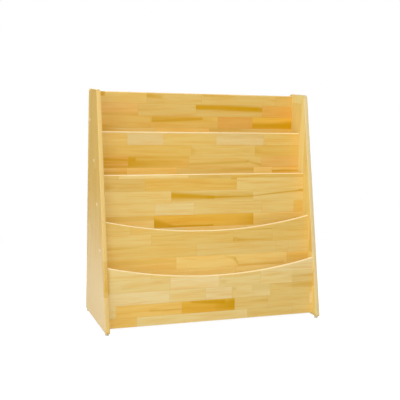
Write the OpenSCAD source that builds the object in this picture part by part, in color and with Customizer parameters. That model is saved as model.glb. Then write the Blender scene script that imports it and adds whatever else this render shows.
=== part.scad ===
// Children's front-facing bookshelf in finger-jointed solid wood: two tapered side
// panels carry five display panels in steps, with a book pocket between each pair.
// Millimetres. X runs along the width, +Y to the back, +Z up, the floor is Z = 0 and
// the origin is at the middle of the footprint.

/* [Side panels] */
// Height of the shelf from the floor to the tops of its side panels
case_h = 805; // [765:5:905]
// Width over the two side panels
case_w = 800; // [600:10:1000]
// Depth of a side panel at its foot
foot_depth = 310; // [305:5:340]
// Depth of a side panel at its top
top_depth = 120; // [115:5:140]
// Thickness of a side panel
side_t = 15; // [15:1:20]
// Radius of a side panel's two top corners
top_corner_r = 15; // [5:1:30]
// Radius of a side panel's two bottom corners
foot_corner_r = 6; // [2:1:10]

/* [Display panels] */
// Thickness of every display panel
panel_t = 12; // [12:0.5:15]
// Lean of the display panels, back from upright, in degrees
panel_lean = 5; // [3:0.5:6]
// Radius on the front and back arris of a panel's top edge
panel_edge_r = 4; // [2:0.5:5.5]
// Drop from the tops of the side panels to the top back panel
top_reveal = 7; // [4:1:20]
// Distance from the back of the case to the top back panel's front arris
back_panel_set = 23; // [18:1:30]
// Height of the front panel's top edge at its ends
front_top_z = 220; // [210:1:230]
// Distance that the front panel's top edge stands behind the side panels
front_panel_set = 2; // [1:0.5:6]
// Rise from the top edge of one display panel to the next
level_rise = 147.5; // [140:0.5:150]
// Height of the middle display panel's top edge over its place in even rises
middle_extra = 3; // [0:0.5:5]
// Step back from one display panel to the next
level_step = 54.5; // [52:0.5:58]
// Dip of the lower display panel's curved top edge
lower_dip = 43; // [20:1:60]
// Dip of the front panel's curved top edge
front_dip = 44.5; // [20:0.5:60]
// Height of the front panel's bottom edge above the floor
front_floor_gap = 14; // [11:1:25]

/* [Pocket shelves] */
// Thickness of a pocket shelf
shelf_t = 12; // [10:0.5:15]
// Height of a pocket's lip above its shelf, where the lip is lowest
pocket_lip = 50; // [40:1:58]

/* [Rear rail] */
// Height of the rear rail
rail_h = 60; // [50:1:80]
// Thickness of the rear rail
rail_t = 15; // [12:1:20]
// Height of the rear rail's lower edge above the floor
rail_z = 45; // [30:1:120]
// Distance that the rear rail stands in from the back of the case
rail_set = 12; // [5:1:30]

/* [Dowels] */
// Diameter of a wooden dowel
dowel_d = 6; // [5:0.5:8]
// Length of a dowel between a board's end and a side panel
dowel_l = 30; // [25:1:40]
// Length of a dowel that lies inside a side panel
dowel_in_side = 9; // [6:1:11]
// Length of a short dowel between a shelf and the panel in front of it
short_dowel_l = 18; // [15:1:20]
// Length of a short dowel that lies inside the panel
short_dowel_in_panel = 6; // [5:1:8]
// Chamfer on a dowel's ends
dowel_chamfer = 0.8; // [0.5:0.1:1.2]
// Distance from a panel's top or bottom edge to the nearest dowel
panel_dowel_edge = 35; // [25:1:45]
// Distance from the rear rail's edges to its dowels
rail_dowel_edge = 16; // [12:1:20]

/* [Side screws] */
// Shank diameter of a screw through a side panel
side_screw_d = 5; // [4:0.5:6]
// Length of such a screw under its head
side_screw_l = 45; // [35:1:60]
// Head diameter of such a screw
side_head_d = 9; // [8:0.5:9.5]
// Head height of such a screw
side_head_h = 3; // [2:0.5:3.5]
// Width across the flats of its hexagon socket
side_socket_w = 4; // [3:0.5:5]
// Distance from a panel's top edge down to its screw
side_screw_drop = 100; // [80:1:120]
// Depth of the counterbore that holds the head and the cap
counterbore_depth = 8; // [7:0.5:9]

/* [Screw caps] */
// Diameter of a cap's domed head
cap_d = 12; // [11:0.5:14]
// Height that a cap's dome stands proud of the side panel
cap_proud = 1.5; // [1:0.1:2.5]
// Diameter of a cap's stem, which is the counterbore less its clearance
cap_stem_d = 9.8; // [9.7:0.1:10]
// Length of a cap's stem
cap_stem_l = 3; // [2:0.5:3]

/* [Shelf screws] */
// Shank diameter of a countersunk screw from a panel's back into a shelf
shelf_screw_d = 3.5; // [3:0.5:4]
// Overall length of such a screw
shelf_screw_l = 32; // [28:1:36]
// Head diameter of such a screw
shelf_head_d = 7; // [6:0.5:8]
// Depth of its cross recess
shelf_recess_depth = 1.5; // [1:0.1:2]
// Distance from a shelf's end to the nearest of its screws
shelf_screw_edge = 55; // [45:5:90]
// Number of screws along a shelf, with a short dowel midway between neighbours
shelf_screw_count = 4; // [3:1:6]

/* [Glides] */
// Diameter of a glide under a side panel
glide_d = 12; // [10:0.5:14]
// Height of a glide
glide_h = 7; // [5:0.5:9]
// Diameter of a glide's nail
glide_nail_d = 2.5; // [2:0.5:3.5]
// Length of a glide's nail
glide_nail_l = 12; // [8:1:20]
// Distance from a side panel's front or back edge to a glide
glide_set = 14; // [14:1:40]

/* [Fits] */
// Radial clearance round a dowel, a screw, a nail or a cap's stem
bore_clear = 0.1; // [0.05:0.05:0.2]
// Spare depth at the blind end of a bore
bore_spare = 1; // [0.5:0.5:2]

/* [Hidden] */

$fn = 64;
// Circles this wide need more steps for a smooth preview
big_arc_fn = 720;
// Overshoot of a cutter past the face that it cuts
cut_over = 1;
hexagon = 6;

panel_wood = "#DEB862";
side_wood = "#D9B56C";
shelf_wood = "#E2BF74";
dowel_wood = "#CFA463";
cap_wood = "#D8AE6A";
zinc = "#B9BBB8";
glide_grey = "#8E8A80";

inner_w = case_w - 2 * side_t;
inner_x = inner_w / 2;
outer_x = case_w / 2;
back_y = foot_depth / 2;
foot_z = glide_h;
side_h = case_h - glide_h;
// Rounding draws the toe's tip in, so its sharp corner lies this much further forward
sharp_slope = (foot_depth - top_depth) / side_h;
toe_cut = foot_corner_r * (sharp_slope + sqrt(1 + pow(sharp_slope, 2)) - 1);
foot_y = -foot_depth / 2 - toe_cut;
front_slope = sharp_slope + toe_cut / side_h;

// Levels count from the top back panel, 0, to the front panel, LAST
LAST = 4;
dips = [0, 0, 0, lower_dip, front_dip];
extras = [0, 0, middle_extra, 0, 0];

function side_front_y(z) = foot_y + front_slope * (z - foot_z);
function top_z(i) = i == 0 ? case_h - top_reveal : front_top_z + (LAST - i) * level_rise + extras[i];
function top_y(i) = i == 0 ? back_y - back_panel_set
    : side_front_y(front_top_z) + front_panel_set + (LAST - i) * level_step;

// Offsets from panel i to the panel in front of it, square to the panels and along them
function rise(i) = top_z(i) - top_z(i + 1);
function step(i) = top_y(i) - top_y(i + 1);
function pocket_depth(i) = step(i) * cos(panel_lean) - rise(i) * sin(panel_lean) - panel_t;
function panel_drop(i) = step(i) * sin(panel_lean) + rise(i) * cos(panel_lean);

function panel_h(i) = i == LAST
    ? (front_top_z - front_floor_gap) / cos(panel_lean)
    : panel_drop(i) + dips[i + 1] + pocket_lip + shelf_t;

// A point of panel i's own frame, n behind its front face and s below its top edge,
// as [y, z] of the whole shelf
function panel_point(i, n, s) = [
    top_y(i) + n * cos(panel_lean) - s * sin(panel_lean),
    top_z(i) - n * sin(panel_lean) - s * cos(panel_lean)
];

panel_dowel_points = [
    for (i = [0:LAST]) for (s = [panel_dowel_edge, panel_h(i) - panel_dowel_edge])
        panel_point(i, panel_t / 2, s)
];
shelf_dowel_points = [
    for (i = [0:LAST - 1]) panel_point(i, -pocket_depth(i) / 2, panel_h(i) - shelf_t / 2)
];
rail_mid_y = back_y - rail_set - rail_t / 2;
rail_dowel_points = [
    for (z = [rail_z + rail_dowel_edge, rail_z + rail_h - rail_dowel_edge]) [rail_mid_y, z]
];
side_screw_points = [for (i = [0:LAST]) panel_point(i, panel_t / 2, side_screw_drop)];
glide_ys = [glide_set - back_y, back_y - glide_set];

first_screw_x = shelf_screw_edge - inner_x;
shelf_screw_pitch = -2 * first_screw_x / (shelf_screw_count - 1);
shelf_screw_xs = [for (k = [0:shelf_screw_count - 1]) first_screw_x + k * shelf_screw_pitch];
short_dowel_xs = [for (k = [0:shelf_screw_count - 2]) shelf_screw_xs[k] + shelf_screw_pitch / 2];

dowel_bore_d = dowel_d + 2 * bore_clear;
// Depths of the bores that hold a dowel in a board's end and a short one in a shelf
end_bore_depth = dowel_l - dowel_in_side + bore_spare;
short_bore_depth = short_dowel_l - short_dowel_in_panel + bore_spare;
counterbore_d = cap_stem_d + 2 * bore_clear;

function unit(v) = v / norm(v);

// A convex outline with its corners rounded: the polygon joins the points where the
// arcs start and end, and a circle fills each corner
module rounded_outline(points, radii) {
    n = len(points);
    corners = [
        for (k = [0:n - 1])
            let (
                p = points[k],
                u = unit(points[(k + n - 1) % n] - p),
                v = unit(points[(k + 1) % n] - p),
                half = acos(u * v) / 2,
                run = radii[k] / tan(half)
            )
            [p + u * run, p + v * run, p + unit(u + v) * radii[k] / sin(half), radii[k]]
    ];
    polygon([for (c = corners) each [c[0], c[1]]]);
    for (c = corners) translate(c[2]) circle(c[3]);
}

// Stands a [y, z] outline up and gives it a length along X, about the middle
module along_x(length) {
    rotate([90, 0, 90]) linear_extrude(length, center = true) children();
}

// A plain bar along X from x0 to x1 at a [y, z] point
module bar_x(x0, x1, point, d) {
    translate([x0, point[0], point[1]]) rotate([0, 90, 0]) cylinder(h = x1 - x0, d = d);
}

// Places its children in panel i's own frame: origin on the top front arris, Y to the
// panel's back, Z up along the panel
module in_panel_frame(i) {
    translate([0, top_y(i), top_z(i)]) rotate([-panel_lean, 0, 0]) children();
}

// Side panels

module right_side_board() {
    outline = [
        [back_y, foot_z],
        [back_y, case_h],
        [back_y - top_depth, case_h],
        [foot_y, foot_z]
    ];
    translate([inner_x + side_t / 2, 0, 0])
        along_x(side_t)
            rounded_outline(outline, [foot_corner_r, top_corner_r, top_corner_r, foot_corner_r]);
}

module right_side() {
    bore_end = inner_x + dowel_in_side + bore_spare;
    difference() {
        right_side_board();
        for (point = concat(panel_dowel_points, shelf_dowel_points, rail_dowel_points))
            bar_x(inner_x - cut_over, bore_end, point, dowel_bore_d);
        for (point = side_screw_points) {
            bar_x(inner_x - cut_over, outer_x + cut_over, point, side_screw_d + 2 * bore_clear);
            bar_x(outer_x - counterbore_depth, outer_x + cut_over, point, counterbore_d);
        }
        for (y = glide_ys)
            translate([inner_x + side_t / 2, y, foot_z - cut_over])
                cylinder(h = glide_nail_l + bore_spare + cut_over, d = glide_nail_d + 2 * bore_clear);
    }
}

module left_side_panel() color(side_wood) mirror([1, 0, 0]) right_side();
module right_side_panel() color(side_wood) right_side();

// Display panels

// A board with its top edge rounded at both arrises, straight from end to end
module straight_board(h) {
    along_x(inner_w) {
        translate([0, -h]) square([panel_t, h - panel_edge_r]);
        translate([panel_edge_r, -h]) square([panel_t - 2 * panel_edge_r, h]);
        for (y = [panel_edge_r, panel_t - panel_edge_r])
            translate([y, -panel_edge_r]) circle(panel_edge_r);
    }
}

// A board whose top edge dips in one circular arc from end to end, rounded alike
module dipped_board(h, dip) {
    arc_r = (inner_x * inner_x + dip * dip) / (2 * dip);
    difference() {
        translate([-inner_x, 0, -h]) cube([inner_w, panel_t, h]);
        translate([0, 0, arc_r - dip])
            rotate([-90, 0, 0])
                rotate_extrude($fn = big_arc_fn)
                    difference() {
                        translate([0, -cut_over]) square([arc_r + panel_edge_r, panel_t + 2 * cut_over]);
                        translate([arc_r, panel_edge_r])
                            square([2 * panel_edge_r, panel_t - 2 * panel_edge_r]);
                        for (y = [panel_edge_r, panel_t - panel_edge_r])
                            translate([arc_r + panel_edge_r, y]) circle(panel_edge_r);
                    }
    }
}

module panel_end_bores(i) {
    screw_depth = side_screw_l - (side_t - counterbore_depth) + bore_spare;
    for (side = [-1, 1]) {
        for (s = [panel_dowel_edge, panel_h(i) - panel_dowel_edge])
            end_bore(side, [panel_t / 2, -s], end_bore_depth, dowel_bore_d);
        end_bore(side, [panel_t / 2, -side_screw_drop], screw_depth, side_screw_d + 2 * bore_clear);
    }
}

// A bore along X into a board's left end, side -1, or its right end, side 1
module end_bore(side, point, depth, d) {
    mirror([side < 0 ? 1 : 0, 0, 0]) bar_x(inner_x - depth, inner_x + cut_over, point, d);
}

// The countersunk holes for the screws that hold the shelf in front of panel i
module shelf_screw_holes(i) {
    for (x = shelf_screw_xs) translate([x, panel_t, shelf_mid_z(i)]) shelf_screw_cutter();
}

function shelf_mid_z(i) = -panel_h(i) + shelf_t / 2;

// Blind holes in panel i's back for the short dowels of the shelf behind it
module short_dowel_holes(i) {
    z = shelf_mid_z(i - 1) + panel_drop(i - 1);
    for (x = short_dowel_xs)
        translate([x, panel_t + cut_over, z])
            rotate([90, 0, 0])
                cylinder(h = short_dowel_in_panel + bore_spare + cut_over, d = dowel_bore_d);
}

module display_panel(i) {
    color(panel_wood) in_panel_frame(i) difference() {
        if (dips[i] > 0) dipped_board(panel_h(i), dips[i]);
        else straight_board(panel_h(i));
        panel_end_bores(i);
        if (i < LAST) shelf_screw_holes(i);
        if (i > 0) short_dowel_holes(i);
    }
}

module top_back_panel() display_panel(0);
module upper_display_panel() display_panel(1);
module middle_display_panel() display_panel(2);
module lower_display_panel() display_panel(3);
module front_panel() display_panel(LAST);

// Pocket shelves, each square to the panels that it joins

module pocket_shelf(i) {
    depth = pocket_depth(i);
    color(shelf_wood) in_panel_frame(i) difference() {
        translate([-inner_x, -depth, -panel_h(i)]) cube([inner_w, depth, shelf_t]);
        for (side = [-1, 1])
            end_bore(side, [-depth / 2, shelf_mid_z(i)], end_bore_depth, dowel_bore_d);
        shelf_screw_holes(i);
        for (x = short_dowel_xs)
            translate([x, -depth - cut_over, shelf_mid_z(i)])
                rotate([-90, 0, 0])
                    cylinder(h = short_bore_depth + cut_over, d = dowel_bore_d);
    }
}

module top_pocket_shelf() pocket_shelf(0);
module upper_pocket_shelf() pocket_shelf(1);
module lower_pocket_shelf() pocket_shelf(2);
module front_pocket_shelf() pocket_shelf(3);

// Rear rail

module rear_rail() {
    color(shelf_wood) difference() {
        translate([-inner_x, rail_mid_y - rail_t / 2, rail_z]) cube([inner_w, rail_t, rail_h]);
        for (side = [-1, 1]) for (point = rail_dowel_points)
            end_bore(side, point, end_bore_depth, dowel_bore_d);
    }
}

// Dowels

// A dowel along Z from 0 to its length, chamfered at both ends
module dowel(length) {
    end_d = dowel_d - 2 * dowel_chamfer;
    cylinder(h = dowel_chamfer, d1 = end_d, d2 = dowel_d);
    translate([0, 0, dowel_chamfer]) cylinder(h = length - 2 * dowel_chamfer, d = dowel_d);
    translate([0, 0, length - dowel_chamfer]) cylinder(h = dowel_chamfer, d1 = dowel_d, d2 = end_d);
}

module right_dowels(points) {
    color(dowel_wood) for (point = points)
        translate([inner_x - dowel_l + dowel_in_side, point[0], point[1]])
            rotate([0, 90, 0]) dowel(dowel_l);
}

module left_panel_dowels() mirror([1, 0, 0]) right_dowels(panel_dowel_points);
module right_panel_dowels() right_dowels(panel_dowel_points);
module left_shelf_dowels() mirror([1, 0, 0]) right_dowels(shelf_dowel_points);
module right_shelf_dowels() right_dowels(shelf_dowel_points);
module left_rail_dowels() mirror([1, 0, 0]) right_dowels(rail_dowel_points);
module right_rail_dowels() right_dowels(rail_dowel_points);

module shelf_front_dowels() {
    color(dowel_wood) for (i = [0:LAST - 1]) in_panel_frame(i) for (x = short_dowel_xs)
        translate([x, -pocket_depth(i) - short_dowel_in_panel, shelf_mid_z(i)])
            rotate([-90, 0, 0]) dowel(short_dowel_l);
}

// Screws and caps

// A countersunk screw's outline, pointing along -Y with its head's face at Y = 0,
// grown by a clearance for the hole that it sits in
module shelf_screw_body(clear) {
    shank_d = shelf_screw_d + 2 * clear;
    head_d = shelf_head_d + 2 * clear;
    cone_h = (head_d - shank_d) / 2;
    rotate([90, 0, 0]) {
        cylinder(h = cone_h, d1 = head_d, d2 = shank_d);
        cylinder(h = shelf_screw_l - shelf_screw_d, d = shank_d);
    }
}

module shelf_screw_cutter() {
    shelf_screw_body(bore_clear);
    rotate([90, 0, 0])
        cylinder(h = shelf_screw_l + bore_spare, d = shelf_screw_d + 2 * bore_clear);
    rotate([-90, 0, 0]) cylinder(h = cut_over, d = shelf_head_d + 2 * bore_clear);
}

module shelf_screw() {
    slot_w = shelf_recess_depth / 2;
    slot_l = shelf_head_d / 2;
    difference() {
        union() {
            shelf_screw_body(0);
            rotate([90, 0, 0]) translate([0, 0, shelf_screw_l - shelf_screw_d])
                cylinder(h = shelf_screw_d, d1 = shelf_screw_d, d2 = 0);
        }
        for (size = [[slot_l, slot_w], [slot_w, slot_l]])
            translate([-size[0] / 2, -shelf_recess_depth, -size[1] / 2])
                cube([size[0], shelf_recess_depth + cut_over, size[1]]);
    }
}

module shelf_screws() {
    color(zinc) for (i = [0:LAST - 1]) in_panel_frame(i) for (x = shelf_screw_xs)
        translate([x, panel_t, shelf_mid_z(i)]) shelf_screw();
}

// A screw through the right side panel, its head on the floor of the counterbore
module right_screw() {
    head_x = outer_x - counterbore_depth;
    socket_d = side_socket_w / cos(180 / hexagon);
    rotate([0, -90, 0]) translate([0, 0, -head_x]) {
        difference() {
            translate([0, 0, -side_head_h]) cylinder(h = side_head_h, d = side_head_d);
            translate([0, 0, -side_head_h - cut_over])
                cylinder(h = side_head_h / 2 + cut_over, d = socket_d, $fn = hexagon);
        }
        cylinder(h = side_screw_l - side_screw_d, d = side_screw_d);
        translate([0, 0, side_screw_l - side_screw_d])
            cylinder(h = side_screw_d, d1 = side_screw_d, d2 = 0);
    }
}

module right_screws() {
    color(zinc) for (point = side_screw_points) translate([0, point[0], point[1]]) right_screw();
}

module left_side_screws() mirror([1, 0, 0]) right_screws();
module right_side_screws() right_screws();

// A cap's domed head lies on the side panel's face and its stem in the counterbore
module right_cap() {
    dome_r = (pow(cap_d / 2, 2) + pow(cap_proud, 2)) / (2 * cap_proud);
    translate([outer_x, 0, 0]) rotate([0, 90, 0]) rotate_extrude() {
        intersection() {
            translate([0, cap_proud - dome_r]) circle(dome_r);
            square([cap_d, cap_d]);
        }
        translate([0, -cap_stem_l]) square([cap_stem_d / 2, cap_stem_l]);
    }
}

module right_caps() {
    color(cap_wood) for (point = side_screw_points) translate([0, point[0], point[1]]) right_cap();
}

module left_screw_caps() mirror([1, 0, 0]) right_caps();
module right_screw_caps() right_caps();

// Glides

module glide(side, y) {
    color(glide_grey) translate([side * (inner_x + side_t / 2), y, 0]) {
        cylinder(h = glide_h, d = glide_d);
        cylinder(h = glide_h + glide_nail_l, d = glide_nail_d);
    }
}

module front_left_glide() glide(-1, glide_ys[0]);
module front_right_glide() glide(1, glide_ys[0]);
module rear_left_glide() glide(-1, glide_ys[1]);
module rear_right_glide() glide(1, glide_ys[1]);

left_side_panel();
right_side_panel();
top_back_panel();
upper_display_panel();
middle_display_panel();
lower_display_panel();
front_panel();
top_pocket_shelf();
upper_pocket_shelf();
lower_pocket_shelf();
front_pocket_shelf();
rear_rail();
left_panel_dowels();
right_panel_dowels();
left_shelf_dowels();
right_shelf_dowels();
left_rail_dowels();
right_rail_dowels();
shelf_front_dowels();
shelf_screws();
left_side_screws();
right_side_screws();
left_screw_caps();
right_screw_caps();
front_left_glide();
front_right_glide();
rear_left_glide();
rear_right_glide();
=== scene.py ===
"""A children's front-facing bookshelf in finger-jointed solid pine, dressed for its portrait.

Every board is glued up from staves. Each board is built here from the frame's own sizes, cut along its
glue lines and finger joints, and each stave carries its own tone, sawing and dark streaks. A few tones
paint light and shade, and most streaks are resinous while a few are painted shadow.
"""

import logging
import math
import random
from collections.abc import Callable
from dataclasses import dataclass
from enum import Enum
from functools import partial

import bmesh
import bpy
from bmesh.types import BMesh
from bpy.types import Material, Mesh, Node, NodeSocket, NodeTree, Object
from mathutils import Matrix, Vector


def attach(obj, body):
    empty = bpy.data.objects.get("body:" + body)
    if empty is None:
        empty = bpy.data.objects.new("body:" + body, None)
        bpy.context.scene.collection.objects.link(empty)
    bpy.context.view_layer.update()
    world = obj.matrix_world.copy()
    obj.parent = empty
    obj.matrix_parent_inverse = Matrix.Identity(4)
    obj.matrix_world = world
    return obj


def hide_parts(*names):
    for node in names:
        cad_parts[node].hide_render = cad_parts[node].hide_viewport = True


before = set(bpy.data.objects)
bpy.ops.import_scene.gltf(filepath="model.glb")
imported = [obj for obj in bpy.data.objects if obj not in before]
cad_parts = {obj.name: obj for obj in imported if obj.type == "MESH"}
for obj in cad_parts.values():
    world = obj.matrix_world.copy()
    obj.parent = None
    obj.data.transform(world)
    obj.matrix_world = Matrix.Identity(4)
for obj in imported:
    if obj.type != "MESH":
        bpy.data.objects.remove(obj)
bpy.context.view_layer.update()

LOG = logging.getLogger("bookshelf")
MM = 0.001
# A lower edge, and both edges of a plain board, are rounded in this many flats
EDGE_FLATS = 3
# Edges that turn by more than this stay sharp
SMOOTH_ANGLE = math.radians(35)
# A face whose normal is this close to the board's thickness belongs to one of its two flats
FLAT = 0.99
# A path that turns by less than this runs straight
STRAIGHT = 1e-10
# The display panels lean back by this angle, and the pocket shelves lie square to them
LEAN = math.radians(5)
# How far, per unit of a stave's seed, its noise is moved so that no two staves look alike
STAVE_SHIFT = (17.3, 9.1, 5.7)
# Names of the attributes that hold a stave's dark streaks, as many as a stave may have; a few of them are
# painted shadow
STREAKS = ("streak_0", "streak_1", "streak_2")

Colour = tuple[float, float, float, float]
Source = Node | NodeSocket
Adder = Callable[..., Node]
Ring = list[Vector]
Point = tuple[float, float]
Place = tuple[float, float, float]


def linear(hex_code: str) -> Colour:
    """Turns an sRGB colour into the linear one that the shaders take, by the sRGB standard's curve.

    Args:
        hex_code: six hex digits, such as "DEB862".

    Returns:
        Red, green and blue from 0 to 1, and an alpha of 1.
    """
    levels = [int(hex_code[k : k + 2], 16) / 255 for k in (0, 2, 4)]
    curve = [v / 12.92 if v <= 0.04045 else ((v + 0.055) / 1.055) ** 2.4 for v in levels]
    return (*curve, 1.0)


def add_node(tree: NodeTree, kind: str, inputs: dict | None = None, **settings: object) -> Node:
    """Adds one node with its settings and links.

    Args:
        tree: the node tree that it joins.
        kind: the node's type without the word that all of them start with, such as "Math".
        inputs: for each input, by name or place, a plain value, a socket, or a node for its first output.
        settings: properties of the node to set.

    Returns:
        The new node.
    """
    node = tree.nodes.new("ShaderNode" + kind)
    for name, value in settings.items():
        setattr(node, name, value)
    for key, value in (inputs or {}).items():
        if isinstance(value, Node):
            value = next(socket for socket in value.outputs if socket.enabled)
        if isinstance(value, NodeSocket):
            tree.links.new(value, node.inputs[key])
        else:
            node.inputs[key].default_value = value
    return node


def new_material(name: str) -> tuple[Material, Adder]:
    """Makes a material with an empty node tree.

    Args:
        name: the material's name.

    Returns:
        The material, and what adds a node to its tree.
    """
    material = bpy.data.materials.new(name)
    material.use_nodes = True
    material.node_tree.nodes.clear()
    return material, partial(add_node, material.node_tree)


class Tone(Enum):
    """The colours that staves of one batch of pine come in, under clear lacquer; three also paint light and
    shade.
    """

    MILKY = "E8D195"
    # Paler, and laid where it partly lifts the shade beside the panels: painted light
    IVORY_PAINTED_LIGHT = "EDDA90"
    OAT = "DEC282"
    # Paler, and laid in the panels' lowest rows to lift the shade above each pocket floor: painted light
    CORN_PAINTED_LIGHT = "ECCB78"
    # Darker, and laid in the panels' upper rows, which the lamps light more strongly than the lower ones:
    # painted shade
    WHEAT_PAINTED_SHADE = "DAB867"
    CREAM = "E8CF7C"
    PALE = "E5CC88"
    STRAW = "E2C477"
    BUTTER = "E8C066"
    HONEY = "E0BE6B"
    GOLD = "DEB75C"
    ROSE = "DFB463"
    RUSSET = "DCA951"
    AMBER = "E4B446"
    OLIVE = "D9B868"


@dataclass(frozen=True)
class Streak:
    """A dark streak, in mm: along the board from its first end, and down from its top edge. Most are
    resinous, a few painted shadow.
    """

    start: float
    end: float
    top_start: float
    low_start: float
    top_end: float
    low_end: float
    # How dark the resin is at each end, from 0 to 1
    depth_start: float
    depth_end: float


@dataclass(frozen=True)
class Cut:
    """A stave given one by one: where it ends, in mm along its row, its tone and its streaks."""

    until: float
    tone: Tone
    streaks: tuple[Streak, ...] = ()


Rows = tuple[tuple[Cut, ...], ...]


@dataclass(frozen=True)
class Stave:
    """One stave as laid: its place on the board in metres, its tone and how it was sawn."""

    u_low: float
    u_high: float
    v_low: float
    v_high: float
    colour: tuple[float, ...]
    seed: float
    pith_n: float
    pith_v: float
    streaks: tuple[Streak, ...]


@dataclass(frozen=True)
class LacqueredPine:
    """Radiata pine, planed, sanded and sprayed with clear satin lacquer.

    Fast-grown pine has wide soft growth rings, fine straight fibres and amber resinous streaks. The lacquer
    warms it and gives a soft sheen without a mirror image.
    """

    name: str
    # Growth rings of plantation pine are 4 to 9 mm apart
    ring_pitch: float = 6.5 * MM
    # Fibres are finer than 0.1 mm, and are drawn 0.9 mm apart so that they show
    fibre_pitch: float = 0.9 * MM
    fibre_run: float = 55 * MM
    # Cloudy changes of tone inside one stave
    mottle_pitch: float = 13 * MM
    mottle_run: float = 150 * MM
    # How far a ring wanders along a stave, and over what width and length
    wander: float = 26 * MM
    wander_pitch: float = 55 * MM
    wander_run: float = 320 * MM
    # How broken the noises of the fibres and clouds are, and that of the rings' wander
    fine_detail: float = 3.0
    slow_detail: float = 1.0
    # Fingers of the end joints, which show on the boards' edges
    finger_length: float = 9 * MM
    finger_pitch: float = 4 * MM
    # A glue line is a hair's width, and is drawn as wide as it needs to show
    glue_line: float = 0.3 * MM
    joint_tint: str = "EAD2A4"
    # Where the noise of the clouds passes the first level they set in, and at the second they are full
    cloud_levels: tuple[float, float] = (0.38, 0.72)
    cloud_depth: float = 0.55
    cloud_tint: str = "FDEBC4"
    # Rings fade and strengthen with the clouds
    ring_levels: tuple[float, float] = (0.3, 0.7)
    latewood_depth: float = 0.30
    latewood_tint: str = "F2CF90"
    # How dark a ring is at shares of its width: earlywood turns slowly into latewood, which ends at once
    ring_profile: tuple[Point, ...] = ((0.0, 0.3), (0.08, 0.0), (0.5, 0.15), (0.88, 1.0), (1.0, 0.3))
    fibre_levels: tuple[float, float] = (0.45, 0.75)
    fibre_depth: float = 0.22
    fibre_tint: str = "F0D09A"
    # Sanded edges take up less lacquer than the faces, and their colour shows through this far; on the
    # panels' top edges it is also a painted highlight, and on the sides a darker colour is a painted shade
    edge_paleness: float = 0.0
    edge: str = "FAE6B8"
    # A streak fades out a few millimetres past its ends, as resinous wood does, and its edges waver
    streak_fade: float = 8 * MM
    streak_waver: float = 1.5 * MM
    waver_levels: tuple[float, float] = (0.2, 0.8)
    # Its middle is solid out to this share of its half width, and its rim soft out to the next
    streak_core: float = 0.3
    streak_rim: float = 1.3
    # The streaks' colour, for the resinous streaks and for the few painted shadows
    resin_and_shade: str = "C99500"
    # Satin lacquer mirrors little of a white room, even seen from the side
    sheen: float = 0.12
    # The sheen breaks up a little where the grain stands through the lacquer
    roughness: tuple[float, float] = (0.36, 0.52)
    relief: float = 0.35
    relief_depth: float = 0.08 * MM
    # A painted reflection of the white floor pales the faces of an upright board towards its foot, all of it
    # below the first height
    painted_glare: float = 0.0
    glare_low: float = 150 * MM
    glare_high: float = 450 * MM
    glare_tint: str = "EED4A2"

    def build(self) -> Material:
        """Builds the finish.

        Returns:
            The material, which reads the attributes that a board's staves carry.
        """
        material, add = new_material(self.name)
        place = add("TexCoord").outputs["Object"]
        axes = add("SeparateXYZ", {0: place})
        low, high = (
            add("SeparateXYZ", {0: add("Attribute", attribute_name=name).outputs["Vector"]})
            for name in ("stave_low", "stave_high")
        )
        shift = add("VectorMath", {0: STAVE_SHIFT, "Scale": low.outputs["Z"]}, operation="SCALE")
        own = add("VectorMath", {0: place, 1: shift}, operation="ADD")
        noises = []
        for run, pitch, detail in (
            (self.fibre_run, self.fibre_pitch, self.fine_detail),
            (self.mottle_run, self.mottle_pitch, self.fine_detail),
            (self.wander_run, self.wander_pitch, self.slow_detail),
        ):
            drawn = add("VectorMath", {0: own, 1: (1 / run, 1 / pitch, 1 / pitch)}, operation="MULTIPLY")
            noises.append(add("TexNoise", {"Vector": drawn, "Scale": 1.0, "Detail": detail}))
        fibres, mottle, wander = noises
        joint = self.joints(add, axes, low, high)
        first, full = self.cloud_levels
        span = {"Value": mottle, "From Min": first, "From Max": full, "To Max": self.cloud_depth}
        clouds = add("MapRange", span, interpolation_type="SMOOTHSTEP")
        first, full = self.fibre_levels
        span = {"Value": fibres, "From Min": first, "From Max": full, "To Max": self.fibre_depth}
        lines = add("MapRange", span)
        colour = add("Attribute", attribute_name="stave_colour")
        for mask, tint in (
            (clouds, self.cloud_tint),
            (self.rings(add, place, wander, mottle), self.latewood_tint),
            (lines, self.fibre_tint),
            (joint, self.joint_tint),
        ):
            layer = {"Factor": mask, "A": colour, "B": linear(tint)}
            colour = add("Mix", layer, data_type="RGBA", blend_type="MULTIPLY")
        eased = add("Attribute", attribute_name="eased").outputs["Fac"]
        pale = add("Math", {0: eased, 1: self.edge_paleness}, operation="MULTIPLY")
        covers = [(pale, self.edge)]
        covers += [(self.streak(add, axes, mottle, name), self.resin_and_shade) for name in STREAKS]
        # The white floor's reflection is painted onto the faces near the foot first
        if self.painted_glare:
            covers.insert(0, (self.foot(add, axes, mottle, eased), self.glare_tint))
        for mask, tint in covers:
            colour = add("Mix", {"Factor": mask, "A": colour, "B": linear(tint)}, data_type="RGBA")
        span = {"Value": fibres, "To Min": self.roughness[0], "To Max": self.roughness[1]}
        sheen = add("MapRange", span)
        height = add("Math", {0: fibres, 1: joint}, operation="SUBTRACT")
        bump = add("Bump", {"Strength": self.relief, "Distance": self.relief_depth, "Height": height})
        look = {"Base Color": colour, "Roughness": sheen, "Normal": bump, "Specular IOR Level": self.sheen}
        add("OutputMaterial", {"Surface": add("BsdfPrincipled", look)})
        return material

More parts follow.
